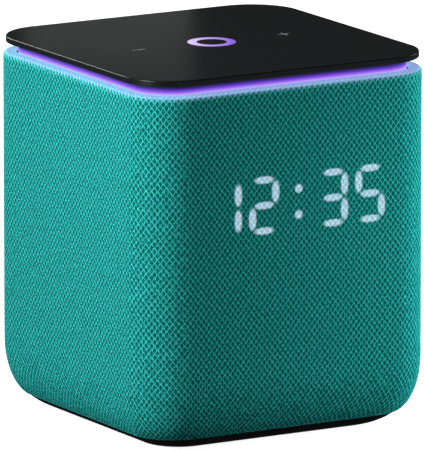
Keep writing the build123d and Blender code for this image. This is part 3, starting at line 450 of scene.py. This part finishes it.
satin, shader, place = start("satin_acrylic", level=0.2)
ring_inner = 6.0 * mm
ring_outer = 9.6 * mm
mark_x = 33 * mm
mark_half_width = 0.35 * mm
plus_half_length = 2.4 * mm
minus_half_length = 2.9 * mm
dust_per_metre = 25.0
hue_way = (0.86, -0.5, 0)       # the ring is palest at one end of this line
parts = add(satin, "SeparateXYZ", {"Vector": place}).outputs
level_place = add(satin, "CombineXYZ", {"X": parts["X"], "Y": parts["Y"]}).outputs[0]
from_middle = add(satin, "VectorMath", {0: level_place}, operation="LENGTH").outputs[1]
ring = add(satin, "Math", {0: from_middle, 1: (ring_outer + ring_inner) / 2,
                           2: (ring_outer - ring_inner) / 2},
           operation="COMPARE").outputs[0]
marks = None
for x, half_x, half_y in ((mark_x, plus_half_length, mark_half_width),
                          (mark_x, mark_half_width, plus_half_length),
                          (-mark_x, minus_half_length, mark_half_width)):
    across = add(satin, "Math", {0: parts["X"], 1: x, 2: half_x}, operation="COMPARE").outputs[0]
    along = add(satin, "Math", {0: parts["Y"], 1: 0.0, 2: half_y}, operation="COMPARE").outputs[0]
    stroke = add(satin, "Math", {0: across, 1: along}, operation="MULTIPLY").outputs[0]
    marks = stroke if marks is None else add(satin, "Math", {0: marks, 1: stroke},
                                             operation="MAXIMUM").outputs[0]
shade = add(satin, "Mix", {0: marks, 6: linear("#101415"), 7: linear("#aab0b3")},
            data_type="RGBA").outputs[2]
feed(satin, shader, "Base Color", shade)
dust = add(satin, "TexNoise", {"Vector": place, "Scale": dust_per_metre, "Detail": 5.0}).outputs["Fac"]
gloss = add(satin, "MapRange", {"Value": dust, "To Min": 0.27, "To Max": 0.33}).outputs["Result"]
feed(satin, shader, "Roughness", gloss)
along_sweep = add(satin, "VectorMath", {0: place, 1: hue_way}, operation="DOT_PRODUCT").outputs["Value"]
sweep = add(satin, "MapRange", {"Value": along_sweep, "From Min": -ring_outer,
                                "From Max": ring_outer}).outputs["Result"]
hue = add(satin, "Mix", {0: sweep, 6: linear("#e6cbfc"), 7: linear("#8353dd")}, data_type="RGBA").outputs[2]
feed(satin, shader, "Emission Color", hue)
feed(satin, shader, "Emission Strength", ring)
dress(satin, "top_panel")

# ---- Fabric sleeve ----
# One tube of warp-knitted polyester mesh, pulled over the grille shell and stretched. Yarns
# cross in a net of upright diamonds, with a closed ground knit sunk behind each opening. The
# top edge is folded in over the shell and the bottom edge is tucked behind the base cover.

sleeve_low, sleeve_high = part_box("fabric_sleeve")
wall = sleeve_high.x
wall_corner = 19.0 * mm
foot_start = 28.2 * mm
foot_reach = 9.65 * mm
foot_drop = 23.2 * mm
seam_turn = 70.0
corner_loss = 0.34
fold = 1.0 * mm
hem = 4.8 * mm
lip = 1.2 * mm
diamonds_round = 206
diamonds_on_wall = 46
diamonds_over_top = 2
strand = 0.4 * mm
sink = 0.1 * mm
hole_top = 0.82         # how far an opening reaches towards each corner of its diamond
hole_bottom = 0.88
hole_side = 0.52
hole_lift = 0.16
opening_half = Vector((25.25, 11.25)) * mm
opening_corner = 7.25 * mm
opening_z = 44.0 * mm
rim_band = 3 * mm       # open edges this close to the top or the bottom belong to it
foot_steps = 40
fold_steps = 9

foot_turns = np.radians(np.linspace(seam_turn, 0, foot_steps))
fold_turns = np.radians(np.linspace(0, 90, fold_steps))
foot_insets = foot_reach * (1 - np.cos(foot_turns))
fold_insets = fold * (1 - np.cos(fold_turns))
profile_insets = np.concatenate([foot_insets, fold_insets, [hem]])
profile_corners = wall_corner - np.concatenate([corner_loss * foot_insets, fold_insets, [hem]])
profile_heights = np.concatenate([foot_start - foot_drop * np.sin(foot_turns),
                                  sleeve_high.z - fold + fold * np.sin(fold_turns), [sleeve_high.z]])
steps = np.hypot(np.diff(profile_insets), np.diff(profile_heights))
profile_lengths = np.concatenate([[0], np.cumsum(steps)])
straight = 2 * (wall - wall_corner)
quarter = straight + wall_corner * pi / 2
wall_length = profile_lengths[len(foot_turns)]
row = wall_length / diamonds_on_wall
diamonds_high = diamonds_on_wall + diamonds_over_top


def wrapped(along, up):
    """Where a point of the flat cloth lies on the body, from its distances round it and up it."""
    inset = np.interp(up, profile_lengths, profile_insets)
    corner = np.interp(up, profile_lengths, profile_corners)
    core = wall - inset - corner
    side, reach = divmod(along, quarter)
    if reach < straight:
        point = Vector(((2 * reach / straight - 1) * core, -core - corner, 0))
    else:
        turn = (reach - straight) / wall_corner
        point = Vector((core + corner * sin(turn), -core - corner * cos(turn), 0))
    point.rotate(Matrix.Rotation(side * pi / 2, 3, "Z"))
    point.z = np.interp(up, profile_lengths, profile_heights)
    return point


def grown(edges, movement):
    """Extrude open edges and shift the new ones, each by movement of its own place."""
    made = bmesh.ops.extrude_edge_only(cloth, edges=edges)["geom"]
    for vert in made:
        if isinstance(vert, bmesh.types.BMVert):
            vert.co += movement(vert.co)
    return [edge for edge in made if isinstance(edge, bmesh.types.BMEdge)]


def outward(point, core):
    """The level direction out of a rounded square whose corners turn about core."""
    nearest = Vector((max(-core, min(core, point.x)), max(-core, min(core, point.y)), 0))
    return (Vector((point.x, point.y, 0)) - nearest).normalized()


cloth = bmesh.new()
tone = cloth.verts.layers.float.new("strand")
course = cloth.verts.layers.float.new("course")
bmesh.ops.create_grid(cloth, x_segments=diamonds_round, y_segments=diamonds_high, size=0.5)
square_edges = cloth.edges[:]
bmesh.ops.poke(cloth, faces=cloth.faces[:])
bmesh.ops.dissolve_edges(cloth, edges=[edge for edge in square_edges if len(edge.link_faces) == 2])
for vert in cloth.verts:
    vert[tone] = 1.0
    vert[course] = (vert.co.y + 0.5) * diamonds_high * row
    vert.co = wrapped((vert.co.x + 0.5) * 4 * quarter % (4 * quarter), vert[course])
bmesh.ops.remove_doubles(cloth, verts=cloth.verts[:], dist=0.01 * mm)
seam = [edge for edge in cloth.edges if len(edge.link_faces) == 2 and len(edge.link_faces[0].verts) == 3
        and len(edge.link_faces[1].verts) == 3]
bmesh.ops.dissolve_edges(cloth, edges=seam)

hidden = []
for face in cloth.faces:
    middle = face.calc_center_median()
    spot = Vector((abs(middle.x), abs(middle.z - opening_z)))
    past = Vector((max(0, spot.x - opening_half.x + opening_corner),
                   max(0, spot.y - opening_half.y + opening_corner)))
    if middle.y > 0 and past.length < opening_corner:
        hidden.append(face)
bmesh.ops.delete(cloth, geom=hidden, context="FACES")
bmesh.ops.recalc_face_normals(cloth, faces=cloth.faces[:])
first = cloth.faces[:][0]
if first.normal.dot(outward(first.calc_center_median(), wall - wall_corner)) < 0:
    bmesh.ops.reverse_faces(cloth, faces=cloth.faces[:])


def rims():
    """The open edges of the cloth: round the rear opening, at the bottom and at the top."""
    found = {"opening": [], "bottom": [], "top": []}
    for edge in cloth.edges:
        place = edge.verts[0].co
        if edge.is_boundary:
            if place.z < sleeve_low.z + rim_band:
                found["bottom"].append(edge)
            elif place.z > sleeve_high.z - rim_band:
                found["top"].append(edge)
            else:
                found["opening"].append(edge)
    return found


for vert in {vert for edge in rims()["opening"] for vert in edge.verts}:
    core_x = max(opening_corner - opening_half.x, min(opening_half.x - opening_corner, vert.co.x))
    core_z = max(opening_corner - opening_half.y,
                 min(opening_half.y - opening_corner, vert.co.z - opening_z))
    rim = Vector((vert.co.x - core_x, 0, vert.co.z - opening_z - core_z)).normalized() * opening_corner
    vert.co.x, vert.co.z = core_x + rim.x, opening_z + core_z + rim.z

# Each diamond gets a sunk opening with a round head and a pointed foot, between raised yarns
cells = cloth.faces[:]
outlines = []
for face in cells:
    corners = [(vert.co.copy(), vert[course]) for vert in face.verts]
    middle = sum((place for place, height in corners), Vector()) / len(corners)
    heights = [height for place, height in corners]
    centre_height = (max(heights) + min(heights)) / 2
    top = max(corners, key=lambda corner: corner[1])[0]
    outline = []
    for place, height in corners:
        if len(corners) < 4:
            spot = middle.lerp(place, hole_side)
        elif height > centre_height + row / 4:
            spot = middle.lerp(place, hole_top)
        elif height < centre_height - row / 4:
            spot = middle.lerp(place, hole_bottom)
        else:
            spot = middle.lerp(place, hole_side) + (top - middle) * hole_lift
        outline.append((place, spot - face.normal * sink))
    outlines.append(outline)
bmesh.ops.inset_individual(cloth, faces=cells, thickness=strand, depth=-sink, use_even_offset=True)
for face, outline in zip(cells, outlines):
    for vert in face.verts:
        vert.co = min(outline, key=lambda corner: (vert.co - corner[0]).length)[1]
        vert[tone] = 0.0

slopes = [face for face in cloth.faces
          if len(face.verts) == 4 and sum(vert[tone] for vert in face.verts) > 1]
bmesh.ops.triangulate(cloth, faces=slopes, quad_method="SHORT_EDGE")

open_edges = rims()
lips = grown(open_edges["opening"], lambda point: Vector((0, -lip, 0)))
lips += grown(open_edges["bottom"], lambda point: -lip * outward(point, wall - wall_corner))
lips += grown(open_edges["top"], lambda point: Vector((0, 0, -lip)))
for edge in open_edges["opening"] + open_edges["bottom"] + open_edges["top"]:
    edge.smooth = False
for vert in {vert for edge in lips for vert in edge.verts}:
    vert[tone] = 0.5
for face in cloth.faces:
    face.smooth = True

# The clock shines through the knit: seven-bar digits with tapered bars, and two dots
clock_x = 1.2 * mm
clock_z = 97.4 * mm
digit_offset = 15.6 * mm
digit_pitch = 16.8 * mm
digit_column = 10.4 * mm
digit_arm = 10.1 * mm
bar_width = 3.25 * mm
level_bar_width = 2.8 * mm
bar_length = 8.4 * mm
bar_taper = 3.3 * mm
dot_rise = 5.2 * mm
dot_width = 3.4 * mm
spill_reach = 1.1 * mm
fibre_size = 0.75 * mm
light_depth = 5 * mm        # how far the digits' light counts before and behind the wall
bars = {"a": (0, 2, 0), "b": (1, 1, 1), "c": (1, -1, 1), "d": (0, -2, 0),
        "e": (-1, -1, 1), "f": (-1, 1, 1), "g": (0, 0, 0)}
digits = [(-digit_offset - digit_pitch, "bc"), (-digit_offset, "abged"),
          (digit_offset, "abgcd"), (digit_offset + digit_pitch, "afgcd")]

# Warp-knitted polyester: matt, light yarns over a ground mottled by its fibres; the dark of the sunk
# openings is partly the ground's darker yarn and partly painted shade
knit, shader, place = start("knitted_polyester", roughness=0.9, level=0.05)
ridge = add(knit, "Attribute", {}, attribute_name="strand").outputs["Fac"]
fibres = add(knit, "TexNoise", {"Vector": place, "Scale": 1 / fibre_size, "Detail": 3.0}).outputs["Fac"]
lift = add(knit, "Math", {0: ridge, 1: 1.5}, operation="POWER").outputs[0]
mottle = add(knit, "MapRange", {"Value": fibres, "From Min": 0.32, "From Max": 0.68, "To Min": -0.32,
                                "To Max": 0.32}).outputs["Result"]
level = add(knit, "Math", {0: lift, 1: mottle}, operation="ADD", use_clamp=True).outputs[0]
yarn_colour_and_opening_shade = add(knit, "Mix", {0: level, 6: linear("#00514d"), 7: linear("#3ccfca")}, data_type="RGBA").outputs[2]
feed(knit, shader, "Base Color", yarn_colour_and_opening_shade)
embossed(knit, shader, fibres, 0.2 * mm)

lit = None
shapes = [(x + column * digit_column / 2, rise * digit_arm / 2, upright)
          for x, names in digits for column, rise, upright in [bars[name] for name in names]]
shapes += [(0, -dot_rise, None), (0, dot_rise, None)]
for x, z, upright in shapes:
    core = [0, 0, 0]
    ends = [dot_width / 2, light_depth, dot_width / 2]
    if upright is not None:
        long_way = 2 if upright else 0
        core[long_way] = bar_length / 2 - bar_taper
        across = (bar_width if upright else level_bar_width) / 2
        ends = [across, light_depth, across]
        ends[long_way] = bar_taper
    middle = (clock_x + x, -wall, clock_z + z)
    offset = add(knit, "VectorMath", {0: place, 1: middle}, operation="SUBTRACT").outputs[0]
    mirrored = add(knit, "VectorMath", {0: offset}, operation="ABSOLUTE").outputs[0]
    beyond = add(knit, "VectorMath", {0: mirrored, 1: core}, operation="SUBTRACT").outputs[0]
    outside = add(knit, "VectorMath", {0: beyond, 1: (0, 0, 0)}, operation="MAXIMUM").outputs[0]
    scaled = add(knit, "VectorMath", {0: outside, 1: [1 / end for end in ends]},
                 operation="MULTIPLY").outputs[0]
    reach = add(knit, "VectorMath", {0: scaled}, operation="LENGTH").outputs[1]
    lit = reach if lit is None else add(knit, "Math", {0: lit, 1: reach}, operation="MINIMUM").outputs[0]
shining = add(knit, "MapRange", {"Value": lit, "From Min": 1.2, "From Max": 0.75}).outputs["Result"]
through = add(knit, "MapRange", {"Value": level, "To Min": 0.72, "To Max": 1.0}).outputs["Result"]
power = add(knit, "Math", {0: shining, 1: through}, operation="MULTIPLY").outputs[0]
digit_light = add(knit, "Mix", {0: power, 6: linear("#000000"), 7: linear("#b8c6de")},
                  data_type="RGBA").outputs[2]
# The light band shines on the folded edge and soaks into the first rows of knit below it
along_cloth = add(knit, "Attribute", {}, attribute_name="course").outputs["Fac"]
near_band = add(knit, "MapRange", {"Value": along_cloth, "From Min": wall_length - spill_reach,
                                   "From Max": wall_length + fold}).outputs["Result"]
spill = add(knit, "Math", {0: near_band, 1: 2.0}, operation="POWER").outputs[0]
band_light = add(knit, "Mix", {0: spill, 6: digit_light, 7: linear("#8c9fd4")}, data_type="RGBA").outputs[2]
feed(knit, shader, "Emission Color", band_light)
shader.inputs["Emission Strength"].default_value = 1.0

sleeve = finished("knitted_sleeve", cloth, knit)
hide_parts("fabric_sleeve")

# ---- Base cover and foot pad ----
# The black foot of the speaker is one ABS moulding, screwed up into the acoustic box, that
# tapers in towards the table. A square of silicone rubber is stuck in a recess under it.

# A coarse spark-eroded face that stays black at any angle
dress(grained("base_plastic", "#0d0e13", "#08090d", 0.6, 0.35 * mm, 0.03 * mm, level=0.25), "base_cover")
# Moulded silicone: dead matt, with a fine pebble
dress(grained("silicone_rubber", "#1b1c1e", "#131416", 0.85, 0.5 * mm, 0.05 * mm, level=0.2), "foot_pad")

# ---- Studio ----
# A white sweep in a dim room. A soft key stands on the left, a narrow strip at the right front
# and a low fill before the foot. The last three lights edge the back, the side and the panel.

floor_half = 6.0
floor_glow = 0.92
room_glow = 0.045
camera_lens = 848
camera_distance = 4.183
camera_aim = Vector((0.37, 0, 76.4)) * mm

floor_data = bmesh.new()
bmesh.ops.create_grid(floor_data, x_segments=1, y_segments=1, size=floor_half)
floor_mesh = bpy.data.meshes.new("floor")
floor_data.to_mesh(floor_mesh)
floor_data.free()
paper, shader, place = start("white_paper")
shader.inputs["Base Color"].default_value = linear("#f4f4f4")
shader.inputs["Roughness"].default_value = 0.9
shader.inputs["Specular IOR Level"].default_value = 0.0
shader.inputs["Emission Color"].default_value = linear("#ffffff")
shader.inputs["Emission Strength"].default_value = floor_glow
floor_mesh.materials.append(paper)
floor = bpy.data.objects.new("floor", floor_mesh)
bpy.context.scene.collection.objects.link(floor)
floor.visible_diffuse = False       # a dark table would light the speaker as little
floor.visible_glossy = False


def softbox(name, place, aim, width, height, power):
    """A rectangular light at a place, facing a point."""
    light = bpy.data.lights.new(name, "AREA")
    light.shape = "RECTANGLE"
    light.size = width
    light.size_y = height
    light.energy = power
    lamp = bpy.data.objects.new(name, light)
    lamp.location = place
    lamp.rotation_euler = (Vector(aim) - Vector(place)).to_track_quat("-Z", "Y").to_euler()
    lamp.visible_camera = False
    bpy.context.scene.collection.objects.link(lamp)
    return lamp


softbox("key", (-0.5, -0.1, 0.3), (0, 0, 0.08), 0.16, 0.3, 4.5)
strip = softbox("strip", (0.2, -0.14, 0.085), (0.0, -0.065, 0.08), 0.04, 0.18, 0.58)
strip.visible_glossy = False
softbox("bounce", (0.05, -0.3, 0.01), (0, -0.05, 0.03), 0.4, 0.2, 0.16)
softbox("rear", (-0.35, 1.1, 0.55), (0, 0.05, 0.07), 0.5, 0.5, 8)
softbox("side", (1.1, 0.12, 0.3), (0.065, 0, 0.07), 0.3, 0.4, 1.3)
softbox("sheen", (0.044, 0.16, 0.178), (-0.033, 0.025, 0.152), 0.068, 0.05, 0.0018)

world = bpy.data.worlds.new("studio")
world.use_nodes = True
world.node_tree.nodes["Background"].inputs["Color"].default_value = linear("#ffffff")
world.node_tree.nodes["Background"].inputs["Strength"].default_value = room_glow
bpy.context.scene.world = world

camera_data = bpy.data.cameras.new("camera")
camera_data.lens = camera_lens
camera_data.clip_end = 20
camera = bpy.data.objects.new("camera", camera_data)
azimuth = radians(-30.2)
elevation = radians(11.75)
back = Vector((sin(azimuth) * cos(elevation), -cos(azimuth) * cos(elevation), sin(elevation)))
camera.location = camera_aim + back * camera_distance
camera.rotation_euler = (-back).to_track_quat("-Z", "Y").to_euler()
bpy.context.scene.collection.objects.link(camera)
bpy.context.scene.camera = camera
bpy.context.scene.view_settings.view_transform = "Standard"
